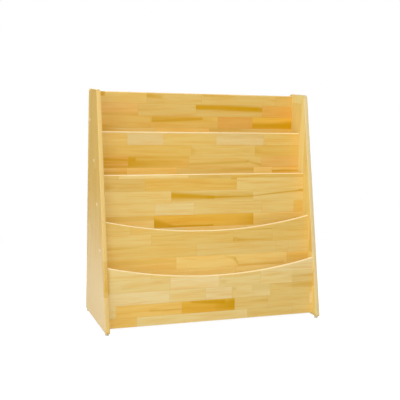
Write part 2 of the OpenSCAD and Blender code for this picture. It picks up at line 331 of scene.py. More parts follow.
    def rings(self, add: Adder, place: Source, wander: Source, mottle: Source) -> Node:
        """Draws the growth rings as rings about the stave's own pith, cut by the board's face.

        Args:
            add: what adds a node.
            place: the place on the board.
            wander: a slow noise along the grain.
            mottle: the clouds, which strengthen and fade the rings.

        Returns:
            How dark the latewood is.
        """
        pith = add("Attribute", attribute_name="stave_pith").outputs["Vector"]
        off = add("VectorMath", {0: place, 1: pith}, operation="SUBTRACT")
        across = add("VectorMath", {0: off, 1: (0, 1, 1)}, operation="MULTIPLY")
        radius = add("VectorMath", {0: across}, operation="LENGTH")
        drift = add("Math", {0: wander, 1: self.wander, 2: radius}, operation="MULTIPLY_ADD")
        count = add("Math", {0: drift, 1: self.ring_pitch}, operation="DIVIDE")
        latewood = add("ValToRGB", {"Fac": add("Math", {0: count}, operation="FRACT")})
        stops = latewood.color_ramp.elements
        for position, _ in self.ring_profile[1:-1]:
            stops.new(position)
        for stop, (_, level) in zip(stops, self.ring_profile):
            stop.color = (level, level, level, 1)
        low, high = self.ring_levels
        span = {"Value": mottle, "From Min": low, "From Max": high, "To Max": self.latewood_depth}
        return add("Math", {0: latewood, 1: add("MapRange", span)}, operation="MULTIPLY")

    def foot(self, add: Adder, axes: Node, mottle: Source, eased: Source) -> Node:
        """Marks the painted reflection of the white floor on an upright board's faces near its foot, not its
        edges.

        Args:
            add: what adds a node.
            axes: the place on the board, split.
            mottle: the clouds, which make the change uneven.
            eased: 1 on the board's edges and 0 on its faces.

        Returns:
            How far the painted reflection pales the board.
        """
        drift = {0: mottle, 1: self.mottle_run, 2: axes.outputs["X"]}
        span = {
            "Value": add("Math", drift, operation="MULTIPLY_ADD"),
            "From Min": self.glare_low,
            "From Max": self.glare_high + self.mottle_run,
            "To Min": self.painted_glare,
            "To Max": 0.0,
        }
        low = add("MapRange", span, interpolation_type="SMOOTHSTEP")
        face = add("Math", {0: 1.0, 1: eased}, operation="SUBTRACT")
        return add("Math", {0: low, 1: face}, operation="MULTIPLY")

    def streak(self, add: Adder, axes: Node, mottle: Source, name: str) -> Node:
        """Marks a dark streak, which may narrow and fade from one end to the other; a few are painted shadow.

        Args:
            add: what adds a node.
            axes: the place on the board, split.
            mottle: the clouds, which make the streak's edges waver.
            name: the start of the names of the streak's attributes.

        Returns:
            How dark the streak is.
        """
        start, end, depth = (
            add("Attribute", attribute_name=name + part).outputs["Vector"]
            for part in ("_start", "_end", "_depth")
        )
        x_start, x_end = (add("SeparateXYZ", {0: place}).outputs["X"] for place in (start, end))
        depths = add("SeparateXYZ", {0: depth})
        x = axes.outputs["X"]
        along = add("MapRange", {"Value": x, "From Min": x_start, "From Max": x_end})
        here = add("Mix", {"Factor": along, "A": start, "B": end}, data_type="VECTOR")
        middle = add("SeparateXYZ", {0: here})
        span = {"Value": mottle, "From Min": self.waver_levels[0], "From Max": self.waver_levels[1]}
        waver = add("MapRange", span | {"To Min": -self.streak_waver, "To Max": self.streak_waver})
        line = add("Math", {0: middle.outputs["Y"], 1: waver}, operation="ADD")
        off = add("Math", {0: axes.outputs["Z"], 1: line}, operation="SUBTRACT")
        away = add("Math", {0: off}, operation="ABSOLUTE")
        share = add("Math", {0: away, 1: middle.outputs["Z"]}, operation="DIVIDE")
        before = add("Math", {0: x_start, 1: x}, operation="SUBTRACT")
        after = add("Math", {0: x, 1: x_end}, operation="SUBTRACT")
        beyond = add("Math", {0: before, 1: after}, operation="MAXIMUM")
        mask = add("MapRange", {"Value": along, "To Min": depths.outputs["X"], "To Max": depths.outputs["Y"]})
        for value, solid, gone in (
            (share, self.streak_core, self.streak_rim),
            (beyond, 0.0, self.streak_fade),
        ):
            span = {"Value": value, "From Min": solid, "From Max": gone, "To Min": 1.0, "To Max": 0.0}
            kept = add("MapRange", span, interpolation_type="SMOOTHSTEP")
            mask = add("Math", {0: mask, 1: kept}, operation="MULTIPLY")
        return mask

    def joints(self, add: Adder, axes: Node, low: Node, high: Node) -> Node:
        """Marks the glue lines round a stave and the zigzag of its fingers on the board's edges.

        Args:
            add: what adds a node.
            axes: the place on the board, split.
            low: the stave's lower ends along and across, and its seed.
            high: its upper ends.

        Returns:
            1 on a joint and 0 off it.
        """
        zigzag = add("Math", {0: axes.outputs["Y"], 1: self.finger_pitch / 2}, operation="PINGPONG")
        slope = 2 * self.finger_length / self.finger_pitch
        finger = add("Math", {0: zigzag, 1: slope}, operation="MULTIPLY")
        straight = add("Math", {0: axes.outputs["X"], 1: finger}, operation="SUBTRACT")
        nearest = None
        for end in (low, high):
            for position, side in ((straight, "X"), (axes.outputs["Z"], "Y")):
                off = add("Math", {0: position, 1: end.outputs[side]}, operation="SUBTRACT")
                away = add("Math", {0: off}, operation="ABSOLUTE")
                nearest = add("Math", {0: nearest, 1: away}, operation="MINIMUM") if nearest else away
        line = {"From Min": self.glue_line / 2, "From Max": self.glue_line, "To Min": 1.0, "To Max": 0.0}
        return add("MapRange", {"Value": nearest} | line)


@dataclass(frozen=True)
class TurnedWood:
    """Beech or birch, turned on a lathe: even pale end grain with short flecks, under thin lacquer."""

    name: str
    light: str
    dark: str
    # Beech flecks are 1 to 3 mm long
    fleck: float = 1.5 * MM
    # The noise of the flecks is all dark below the first level and all light above the second
    levels: tuple[float, float] = (0.35, 0.65)
    # Tool marks are a few hundredths of a millimetre deep
    relief: float = 0.3
    relief_depth: float = 0.05 * MM
    roughness: float = 0.4
    ior: float = 1.5
    coat: float = 0.2
    coat_roughness: float = 0.3

    def build(self) -> Material:
        """Builds the finish.

        Returns:
            The material.
        """
        material, add = new_material(self.name)
        place = add("TexCoord").outputs["Object"]
        flecks = add("TexNoise", {"Vector": place, "Scale": 1 / self.fleck, "Detail": 2.0})
        colour = add("ValToRGB", {"Fac": flecks})
        shades = (self.dark, self.light)
        for stop, level, shade in zip(colour.color_ramp.elements, self.levels, shades):
            stop.position = level
            stop.color = linear(shade)
        bump = add("Bump", {"Strength": self.relief, "Distance": self.relief_depth, "Height": flecks})
        look = {"Base Color": colour, "Roughness": self.roughness, "Normal": bump, "IOR": self.ior}
        coat = {"Coat Weight": self.coat, "Coat Roughness": self.coat_roughness}
        add("OutputMaterial", {"Surface": add("BsdfPrincipled", look | coat)})
        return material


@dataclass(frozen=True)
class ZincPlatedSteel:
    """Cold-headed steel, zinc plated: a bright bluish grey with a faint cloudy spangle."""

    name: str
    light: str = "B9BDC0"
    dark: str = "9FA5AA"
    # Clouds in the plating are 1 to 2 mm across, and duller where they are darker
    cloud: float = 1.2 * MM
    roughness: tuple[float, float] = (0.22, 0.45)

    def build(self) -> Material:
        """Builds the finish.

        Returns:
            The material.
        """
        material, add = new_material(self.name)
        place = add("TexCoord").outputs["Object"]
        clouds = add("TexNoise", {"Vector": place, "Scale": 1 / self.cloud, "Detail": 3.0})
        span = {"Value": clouds, "To Min": self.roughness[0], "To Max": self.roughness[1]}
        shades = {"Factor": clouds, "A": linear(self.light), "B": linear(self.dark)}
        colour = add("Mix", shades, data_type="RGBA")
        look = {"Base Color": colour, "Metallic": 1.0, "Roughness": add("MapRange", span)}
        add("OutputMaterial", {"Surface": add("BsdfPrincipled", look)})
        return material


@dataclass(frozen=True)
class MouldedNylon:
    """Injection-moulded nylon from a spark-eroded mould: matt pale grey with a fine even texture."""

    name: str
    light: str = "D8CFB4"
    dark: str = "C6BC9E"
    # Spark texture is 0.1 to 0.3 mm across and a few hundredths deep
    grit: float = 0.25 * MM
    relief: float = 0.4
    relief_depth: float = 0.03 * MM
    roughness: float = 0.55
    ior: float = 1.53

    def build(self) -> Material:
        """Builds the finish.

        Returns:
            The material.
        """
        material, add = new_material(self.name)
        place = add("TexCoord").outputs["Object"]
        grit = add("TexNoise", {"Vector": place, "Scale": 1 / self.grit, "Detail": 1.0})
        shades = {"Factor": grit, "A": linear(self.light), "B": linear(self.dark)}
        colour = add("Mix", shades, data_type="RGBA")
        bump = add("Bump", {"Strength": self.relief, "Distance": self.relief_depth, "Height": grit})
        look = {"Base Color": colour, "Roughness": self.roughness, "Normal": bump, "IOR": self.ior}
        add("OutputMaterial", {"Surface": add("BsdfPrincipled", look)})
        return material


@dataclass
class GluedBoard:
    """A board glued up from finger-jointed staves.

    It is built in its own frame: X along the grain, Y through the thickness and Z across the staves.
    """

    node: str
    finish: Material
    slot: str
    seed: int
    stave_width: float = 42 * MM
    # Place of one glue line, measured down from the board's top edge in its own frame
    glue_line: float = 41 * MM
    # Rows picked stave by stave, from the top edge down
    picked: Rows = ()
    # Tones of the staves that nobody picked, and how often each comes up
    tones: tuple[Tone, ...] = (Tone.PALE, Tone.STRAW, Tone.HONEY, Tone.GOLD, Tone.ROSE)
    shares: tuple[int, ...] = (2, 4, 6, 3, 2)
    shortest: float = 140 * MM
    longest: float = 360 * MM
    # A strip thinner than this at an edge is left to the row beside it
    thinnest: float = 2 * MM
    # How far staves of one tone differ in lightness
    lightness: tuple[float, float] = (0.98, 1.02)
    # How deep the tree's pith lay behind a stave's face, and how far to either side, in mm
    pith_depth: tuple[float, float] = (15, 70)
    pith_offset: float = 60
    # How far the edges show the finish's own edge colour, on the panels' top edges partly a painted highlight
    edge_share: float = 1.0

    def turn(self) -> Matrix:
        """How the board's own frame turns to stand in the shelf."""
        return Matrix.Identity(4)

    def own_points(self) -> list[Vector]:
        """Gives the corners of the frame's solid in the board's own axes."""
        back = self.turn().inverted()
        return [back @ v.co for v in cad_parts[self.node].data.vertices]

    def own_box(self) -> tuple[Vector, Vector]:
        """Gives the solid's lowest and highest corner in the board's own axes."""
        points = self.own_points()
        return tuple(Vector(pick(p[k] for p in points) for k in range(3)) for pick in (min, max))

    def rings(self, size: Vector) -> list[Ring]:
        """Gives the loops of points that the skin of a board of that size joins, all of one length."""
        raise NotImplementedError

    def rows(self, height: float) -> list[Point]:
        """Places the rows of staves from the top edge down.

        Args:
            height: the board's height across the staves.

        Returns:
            Each row's lower and upper edge, with the top edge at 0.
        """
        first = self.glue_line % self.stave_width
        lines = [0.0]
        while first < height - self.thinnest:
            if first > self.thinnest:
                lines.append(-first)
            first += self.stave_width
        lines.append(-height)
        return [(b, a) for a, b in zip(lines, lines[1:])]

    def lengths(self, length: float, rng: random.Random) -> list[Point]:
        """Divides a row into staves of chance length.

        Args:
            length: the row's length.
            rng: the board's own random numbers.

        Returns:
            The staves' ends.
        """
        ends = [0.0]
        while length - ends[-1] > self.longest:
            ends.append(ends[-1] + rng.uniform(self.shortest, self.longest))
        # A stub at the end joins the stave before it
        if length - ends[-1] < self.shortest / 2 and len(ends) > 1:
            ends.pop()
        return list(zip(ends, [*ends[1:], length]))

    def lay_staves(self, length: float, height: float) -> list[Stave]:
        """Lays the board's staves row by row, the picked rows first.

        Args:
            length: the board's length along the grain.
            height: its height across the staves.

        Returns:
            The staves.
        """
        rng = random.Random(self.seed)
        staves = []
        for number, (v_low, v_high) in enumerate(self.rows(height)):
            if number < len(self.picked):
                cuts = self.picked[number]
                starts = [0.0, *(cut.until * MM for cut in cuts[:-1])]
                spans = list(zip(starts, [*starts[1:], length], cuts))
            else:
                stretch = self.lengths(length, rng)
                spans = [(a, b, Cut(0, rng.choices(self.tones, self.shares)[0])) for a, b in stretch]
            for u_low, u_high, cut in spans:
                bright = rng.uniform(*self.lightness)
                colour = tuple(level * bright for level in linear(cut.tone.value)[:3])
                seed = rng.random()
                pith_n = -rng.uniform(*self.pith_depth) * MM
                pith_v = (v_low + v_high) / 2 + rng.uniform(-self.pith_offset, self.pith_offset) * MM
                place = (u_low, u_high, v_low, v_high)
                staves.append(Stave(*place, colour, seed, pith_n, pith_v, cut.streaks))
        return staves

    def cut(self, mesh: BMesh, staves: list[Stave]) -> None:
        """Cuts the board's skin along every glue line and stave end.

        Args:
            mesh: the board's skin.
            staves: the staves as laid.
        """
        for v in sorted({s.v_high for s in staves if s.v_high < 0}):
            everything = [*mesh.verts, *mesh.edges, *mesh.faces]
            bmesh.ops.bisect_plane(mesh, geom=everything, plane_co=(0, 0, v), plane_no=(0, 0, 1))
        for stave in staves:
            if stave.u_low <= 0:
                continue
            row_faces = [f for f in mesh.faces if stave.v_low < f.calc_center_median().z < stave.v_high]
            edges = {e for f in row_faces for e in f.edges}
            verts = {v for f in row_faces for v in f.verts}
            everything = [*verts, *edges, *row_faces]
            bmesh.ops.bisect_plane(mesh, geom=everything, plane_co=(stave.u_low, 0, 0), plane_no=(1, 0, 0))

    def mark(self, data: Mesh, staves: list[Stave]) -> None:
        """Writes each stave's tone, sawing and streaks onto the faces that it shows.

        Args:
            data: the board's mesh.
            staves: the staves as laid.
        """
        corners = ["stave_low", "stave_high", "stave_pith"]
        corners += [name + end for name in STREAKS for end in ("_start", "_end", "_depth")]
        kinds = {"stave_colour": "FLOAT_COLOR", "eased": "FLOAT"} | {name: "FLOAT_VECTOR" for name in corners}
        for name, kind in kinds.items():
            data.attributes.new(name, kind, "FACE")
        colour, eased = (data.attributes[name].data for name in ("stave_colour", "eased"))
        vectors = {name: data.attributes[name].data for name in corners}
        for face in data.polygons:
            u, _, v = face.center
            stave = min(
                staves,
                key=lambda s: max(s.u_low - u, u - s.u_high, 0) + max(s.v_low - v, v - s.v_high, 0),
            )
            k = face.index
            colour[k].color = (*stave.colour, 1)
            eased[k].value = 0.0 if abs(face.normal.y) > FLAT else self.edge_share
            vectors["stave_low"][k].vector = (stave.u_low, stave.v_low, stave.seed)
            vectors["stave_high"][k].vector = (stave.u_high, stave.v_high, 0)
            vectors["stave_pith"][k].vector = (0, stave.pith_n, stave.pith_v)
            for name, streak in zip(STREAKS, stave.streaks):
                for end, along, top, low in (
                    ("_start", streak.start, streak.top_start, streak.low_start),
                    ("_end", streak.end, streak.top_end, streak.low_end),
                ):
                    middle, half = -(top + low) / 2, (low - top) / 2
                    vectors[name + end][k].vector = (along * MM, middle * MM, half * MM)
                vectors[name + "_depth"][k].vector = (streak.depth_start, streak.depth_end, 0)

    def cut_holes(self, piece: Object, size: Vector) -> None:
        """Cuts what holes show in the board. A plain board has none."""

    def build(self) -> None:
        """Builds the board, cuts it into its staves, dresses it and stands it in the shelf."""
        low, high = self.own_box()
        size = high - low
        mesh = bmesh.new()
        skin(mesh, self.rings(size))
        piece = new_piece(self.node + "_board", mesh)
        self.cut_holes(piece, size)
        staves = self.lay_staves(size.x, size.z)
        mesh = bmesh.new()
        mesh.from_mesh(piece.data)
        self.cut(mesh, staves)
        mesh.to_mesh(piece.data)
        mesh.free()
        self.mark(piece.data, staves)
        piece.data.materials.clear()
        piece.data.materials.append(self.finish)
        smooth(piece)
        piece.matrix_world = self.turn() @ Matrix.Translation((low.x, low.y, high.z))
        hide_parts(self.node)
        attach(piece, "root")
        LOG.info("%s: %d staves, %d faces", piece.name, len(staves), len(piece.data.polygons))


def new_piece(name: str, mesh: BMesh) -> Object:
    """Turns a mesh under construction into an object of the scene, and frees it.

    Args:
        name: the object's name.
        mesh: the mesh under construction.

    Returns:
        The object.
    """
    data = bpy.data.meshes.new(name)
    mesh.to_mesh(data)
    mesh.free()
    piece = bpy.data.objects.new(name, data)
    bpy.context.scene.collection.objects.link(piece)
    return piece


def skin(mesh: BMesh, rings: list[Ring]) -> None:
    """Joins loops of points into one closed skin with flat ends.

    Args:
        mesh: the mesh that takes the skin.
        rings: the loops, each with as many points as the others.
    """
    loops = [[mesh.verts.new(p) for p in ring] for ring in rings]
    for a, b in zip(loops, loops[1:]):
        for k in range(len(a)):
            mesh.faces.new((a[k - 1], a[k], b[k], b[k - 1]))
    mesh.faces.new(loops[0][::-1])
    mesh.faces.new(loops[-1])
    bmesh.ops.recalc_face_normals(mesh, faces=mesh.faces)


def smooth(piece: Object) -> None:
    """Shades a piece smoothly over its eased edges and keeps its flats flat.

    Args:
        piece: the piece.
    """
    mesh = bmesh.new()
    mesh.from_mesh(piece.data)
    for face in mesh.faces:
        face.smooth = True
    for edge in mesh.edges:
        edge.smooth = len(edge.link_faces) == 2 and edge.calc_face_angle(0.0) < SMOOTH_ANGLE
    mesh.to_mesh(piece.data)
    mesh.free()
    weighted = piece.modifiers.new("weighted_normals", "WEIGHTED_NORMAL")
    weighted.keep_sharp = True
    # The largest faces at a corner outweigh the others
    weighted.weight = 100


def section(size: Vector, top: float, top_radius: float, low_radius: float, top_flats: int) -> Ring:
    """Gives the cross section of a board with its four long edges rounded.

    Args:
        size: the board's length, thickness and height, its bottom edge that far below 0.
        top: the height of its top edge.
        top_radius: the radius of its two upper edges.
        low_radius: the radius of its two lower edges.
        top_flats: how many flats an upper edge is rounded in.

    Returns:
        Its points, at X = 0.
    """
    r, e = top_radius, low_radius
    corners = (
        (r, top - r, r, 180, top_flats),
        (size.y - r, top - r, r, 90, top_flats),
        (size.y - e, e - size.z, e, 0, EDGE_FLATS),
        (e, e - size.z, e, -90, EDGE_FLATS),
    )
    found = []
    for y, z, radius, start, flats in corners:
        for k in range(flats + 1):
            angle = math.radians(start - 90 * k / flats)
            found.append(Vector((0, y + radius * math.cos(angle), z + radius * math.sin(angle))))
    return found


@dataclass
class DisplayPanel(GluedBoard):
    """A leaning panel that books stand against, its top edge straight or dipped in one arc."""

    top_radius: float = 4 * MM
    top_flats: int = 6
    bottom_radius: float = 1.5 * MM
    dip: float = 0.0
    stations: int = 56
    # The shelf in front of it is screwed on from behind, this far up from the bottom edge
    screw_rise: float = 6 * MM
    screw_end: float = 55 * MM
    screws: int = 0
    head_radius: float = 3.75 * MM
    shank_radius: float = 2 * MM
    shank_depth: float = 9 * MM
    # The cutter stands this far out of the board, and a hole has this many sides
    overcut: float = 1 * MM
    hole_sides: int = 32

    def turn(self) -> Matrix:
        """How the board's own frame turns to stand in the shelf: it leans back."""
        return Matrix.Rotation(-LEAN, 4, "X")

    def top_at(self, x: float, length: float) -> float:
        """Measures the top edge against its ends.

        Args:
            x: the distance along the panel.
            length: the panel's length.

        Returns:
            The height there, at most 0.
        """
        if not self.dip:
            return 0.0
        half = length / 2
        radius = (half**2 + self.dip**2) / (2 * self.dip)
        return radius - self.dip - math.sqrt(radius**2 - (x - half) ** 2)

    def rings(self, size: Vector) -> list[Ring]:
        """Gives a cross section at each station along the panel.

        Args:
            size: length, thickness and height of the panel.

        Returns:
            The cross sections.
        """
        found = []
        count = self.stations if self.dip else 1
        for x in (size.x * k / count for k in range(count + 1)):
            top = self.top_at(x, size.x)
            points = section(size, top, self.top_radius, self.bottom_radius, self.top_flats)
            found.append([p + Vector((x, 0, 0)) for p in points])
        return found

    def cut_holes(self, piece: Object, size: Vector) -> None:
        """Cuts the countersunk holes in the back for the pocket shelf's screws.

        Args:
            piece: the panel.
            size: its length, thickness and height.
        """
        if not self.screws:
            return
        pitch = (size.x - 2 * self.screw_end) / (self.screws - 1)
        steps = (
            (-self.overcut, self.head_radius + self.overcut),
            (self.head_radius - self.shank_radius, self.shank_radius),
            (self.shank_depth, self.shank_radius),
        )
        angles = [math.tau * j / self.hole_sides for j in range(self.hole_sides)]
        mesh = bmesh.new()
        for k in range(self.screws):
            middle = Vector((self.screw_end + k * pitch, size.y, self.screw_rise - size.z))
            circles = [
                [middle + Vector((radius * math.cos(a), -depth, radius * math.sin(a))) for a in angles]
                for depth, radius in steps
            ]
            skin(mesh, circles)
        cutter = new_piece("countersink", mesh)
        drill = piece.modifiers.new("drill", "BOOLEAN")
        drill.object = cutter
        drill.operation = "DIFFERENCE"
        drill.solver = "EXACT"
        bpy.context.view_layer.update()
        drilled = piece.evaluated_get(bpy.context.evaluated_depsgraph_get())
        data = bpy.data.meshes.new_from_object(drilled)
        piece.modifiers.clear()
        piece.data = data
        bpy.data.objects.remove(cutter)


@dataclass
class PlainBoard(GluedBoard):
    """A straight board with its four long edges eased."""

    ease: float = 1.5 * MM

    def rings(self, size: Vector) -> list[Ring]:
        """Gives the same cross section at both ends."""
        points = section(size, 0.0, self.ease, self.ease, EDGE_FLATS)
        return [[p + Vector((x, 0, 0)) for p in points] for x in (0.0, size.x)]


@dataclass
class PocketShelf(PlainBoard):
    """The floor of a book pocket, square to the panels that it joins."""

    def turn(self) -> Matrix:
        """How the board lies: its face up, its staves side by side from front to back."""
        return Matrix.Rotation(math.radians(90) - LEAN, 4, "X")


@dataclass
class SidePanel(GluedBoard):
    """An upright tapered side, its corners rounded and its edges eased."""

    ease: float = 3 * MM
    ease_steps: int = 4

    def turn(self) -> Matrix:
        """How the board stands: its grain upright and its staves side by side from front to back."""
        return Matrix(((0, 1, 0, 0), (0, 0, 1, 0), (1, 0, 0, 0), (0, 0, 0, 1)))

    def outline(self) -> list[Point]:
        """Takes the side's outline from the frame's own solid, to a hundredth of a millimetre.

        Returns:
            The points of its convex outline along and across the grain, in turn, in the board's axes.
        """
        ordered = sorted({(round(p.x, 5), round(p.z, 5)) for p in self.own_points()})
        hull: list[Point] = []
        for sweep in (ordered, ordered[::-1]):
            chain: list[Point] = []
            for p in sweep:
                while len(chain) > 1 and turns_right(chain[-2], chain[-1], p):
                    chain.pop()
                chain.append(p)
            hull += chain[:-1]
        return hull

    def rings(self, size: Vector) -> list[Ring]:
        """Gives the outline at each depth through the board, drawn in where the edges are eased.

        Args:
            size: length, thickness and height of the board.

        Returns:
            The outlines.
        """
        low, high = self.own_box()
        outline = [Vector((u - low.x, 0, v - high.z)) for u, v in self.outline()]
        inward = []
        for k, p in enumerate(outline):
            before = (p - outline[k - 1]).normalized()
            after = (outline[(k + 1) % len(outline)] - p).normalized()
            normal = Vector((-(before.z + after.z), 0, before.x + after.x))
            # A corner moves further than a flat, and a sharp one no further than a right angle does
            inward.append(normal.normalized() / max((1 + before.dot(after)) / 2, 0.5) ** 0.5)
        angles = [math.radians(90 * k / self.ease_steps) for k in range(self.ease_steps + 1)]
        steps = [(self.ease * (1 - math.sin(a)), self.ease * (1 - math.cos(a))) for a in angles]
        back = [(inset, size.y - depth) for inset, depth in reversed(steps)]
        return [
            [p + n * inset + Vector((0, depth, 0)) for p, n in zip(outline, inward)]
            for inset, depth in steps + back
        ]


def turns_right(a: Point, b: Point, c: Point) -> bool:
    """Says whether the path from a over b to c turns right or runs straight."""
    return (b[0] - a[0]) * (c[1] - a[1]) - (b[1] - a[1]) * (c[0] - a[0]) <= STRAIGHT


def row(*cuts: tuple[float | Tone | tuple[float, ...], ...]) -> tuple[Cut, ...]:
    """Names the staves of a row: a side's from the foot up, a panel's from the left.

    Args:
        cuts: for each stave, where it ends, its tone and then its streaks.

    Returns:
        The row.
    """
    return tuple(Cut(until, tone, tuple(Streak(*s) for s in streaks)) for until, tone, *streaks in cuts)


# Short names for the tones, in their order above, so that a stave of the rows below fits on a line
M, Y, T, C, W, E, P, S, B, H, G, R, U, A, V = Tone

LEFT_SIDE_ROWS = (
    row((250, V), (520, V), (798, S)),
    row((190, V), (440, V), (798, V)),
    row((330, V), (640, V), (798, V)),
    row((210, V), (530, V), (798, V)),
    row((300, V), (798, V)),
    row((220, V), (540, V)),
    # The streaks in this row and the next darken the side near its front edge, 120 to 245 mm up
    row((235, V, (170, 245, 252, 300, 236, 300, 0.36, 0.3)), (400, V)),
    row(
        (118, V),
        (240, G, (122, 240, 262, 330, 262, 330, 0.42, 0.36), (140, 195, 262, 330, 262, 330, 0.48, 0.42)),
    ),
    row((120, V)),
)

RIGHT_SIDE_ROWS = (
    row((260, E), (520, P), (798, E)),
    # The Y staves at the top of this row and the next two partly lift the shade near the panels: painted
    # light
    row((180, P), (420, E), (765, E), (798, Y)),
    row((300, E), (560, E), (765, E), (798, Y)),
    row((150, E), (450, E), (798, Y)),
    row((240, E), (560, E), (798, E)),
    row((200, E), (400, E), (798, E)),
    row((230, E), (798, H)),
    row((110, E), (798, H)),
    row((120, E)),
)

TOP_BACK_ROWS = (
    # The W staves in the two upper rows take off light that falls more strongly there: painted shade
    row(
        # The first streak darkens a spot at the panel's top left corner, next to the left side
        (190, H, (21, 33, -3, 19, -3, 18, 0.9, 0.8)), (255, W, (194, 245, 2, 20, 8, 24, 0.72, 0.42)),
        (400, W), (700, W, (410, 530, 2, 12, 4, 12, 0.36, 0.12)), (770, W),
    ),
    row(
        (158, R, (20, 158, 72, 84, 72, 84, 0.42, 0.36)), (378, W),
        (645, W, (378, 645, 38, 60, 42, 67, 0.9, 0.9), (378, 450, 48, 58, 46, 56, 0.84, 0.36),
         (500, 625, 46, 62, 44, 60, 0.36, 0.9)),
        (770, U),
    ),
    row(
        # The first streak darkens the panel's lower left, where the left side casts its shadow: painted
        # shadow
        (205, G, (20, 110, 112, 134, 124, 132, 0.6, 0.06)),
        (465, G, (212, 440, 82, 106, 84, 108, 0.6, 0.15), (214, 400, 98, 108, 86, 98, 0.6, 0.72)), (605, U),
        (770, A, (606, 770, 104, 126, 100, 128, 0.84, 0.9), (700, 770, 96, 128, 92, 130, 0, 0.84)),
    ),
    row(
        # The first streak darkens the panel's lower left, where the left side casts its shadow: painted
        # shadow
        (225, H, (20, 110, 122, 140, 134, 140, 0.72, 0.06)), (430, B),
        (700, H, (430, 700, 127, 137, 130, 136, 0.4, 0.2)), (770, G),
    ),
)

UPPER_DISPLAY_ROWS = (
    row((250, T), (600, T), (770, H)),
    row((102, H), (235, T), (435, H), (625, T, (440, 625, 4, 22, 4, 20, 0.18, 0.18)), (770, H)),
    row(
        # The first streak darkens the panel's left end, where the left side casts its shadow: painted shadow
        (340, G, (0, 60, 50, 86, 55, 86, 0.3, 0.06)), (590, H, (340, 358, 52, 84, 60, 84, 0.36, 0.06)),
        (770, G, (590, 622, 52, 80, 60, 74, 0.24, 0)),
    ),
    row(
        (105, U, (10, 105, 88, 104, 96, 106, 0.9, 0.72), (10, 105, 104, 114, 106, 112, 0.8, 0.4),
         (10, 105, 116, 128, 118, 126, 0.7, 0.5)),
        (330, G, (109, 128, 84, 108, 88, 106, 0.9, 0.84), (105, 300, 92, 132, 96, 124, 0.9, 0.12),
         (130, 330, 84, 96, 84, 96, 0.42, 0.3)),
        (615, H, (335, 560, 108, 122, 102, 113, 0.45, 0.45), (560, 615, 102, 108, 112, 126, 0.48, 0.48)),
        (770, R),
    ),
    # The C stave in this lowest row lifts the shade above the pocket floor: painted light
    row(
        (100, B, (0, 100, 138, 150, 140, 150, 0.6, 0.36)), (285, B),
        (585, H, (285, 585, 128, 146, 128, 144, 0.12, 0.42)), (660, C),
        (770, B, (661, 770, 137, 147, 137, 147, 0.72, 0.6)),
    ),
)

MIDDLE_DISPLAY_ROWS = (
    # The W staves in the two upper rows take off light that falls more strongly there: painted shade
    row((60, W), (315, P), (480, W), (770, G)),
    row(
        # The first streak darkens the panel's left end, where the left side casts its shadow: painted shadow
        (155, W, (10, 52, 29, 57, 39, 47, 0.54, 0.06)), (500, G, (480, 500, 15, 21, 15, 21, 0.48, 0.48)),
        (770, S),
    ),
    row(
        (250, S),
        (565, S, (252, 410, 61, 87, 77, 91, 0.9, 0.84), (385, 565, 79, 89, 79, 86, 0.84, 0.6),
         (252, 565, 60, 98, 64, 97, 0.45, 0.35)),
        (770, S, (565, 770, 78, 84, 61, 68, 0.54, 0.78), (756, 766, 59, 69, 59, 69, 0.48, 0.48)),
    ),
    row((190, S), (335, P), (600, S), (732, S), (770, G)),
    # The C staves in the two lowest rows lift the shade above the pocket floor: painted light
    row(
        (187, C, (0, 187, 141, 168, 141, 164, 0.54, 0.36)),
        (567, A, (187, 262, 151, 193, 181, 195, 0.9, 0.54), (240, 405, 181, 188, 181, 188, 0.9, 0.9),
         (500, 567, 149, 189, 143, 193, 0.06, 0.54)),
        (770, C, (567, 770, 150, 200, 146, 200, 0.25, 0.3)),
    ),
    row((300, P), (770, C)),
)

LOWER_DISPLAY_ROWS = (
    row((60, H), (640, H), (770, H)),
    row((90, H), (622, H, (525, 622, 43, 49, 43, 50, 0.36, 0.6)), (770, H)),
    row(
        (165, S), (470, H),
        (625, H, (468, 520, 70, 90, 78, 88, 0.54, 0.12), (490, 622, 78, 86, 80, 88, 0.42, 0.18)), (770, H),
    ),
    row((330, H, (0, 120, 90, 100, 90, 96, 0.36, 0.12)), (640, S), (690, S), (770, S)),
    # The C staves in the two lowest rows lift the shade above the pocket floor: painted light
    row(
        (255, B, (10, 255, 134, 156, 140, 150, 0.36, 0.1)),
        (490, C, (440, 480, 134, 142, 142, 156, 0.12, 0.36), (478, 492, 142, 160, 160, 178, 0.36, 0.36)),
        (685, C, (490, 670, 164, 196, 164, 196, 0.4, 0.4)),
        (770, B, (685, 770, 146, 168, 140, 168, 0.15, 0.25)),
    ),
    row((300, C), (480, C), (770, C)),
)

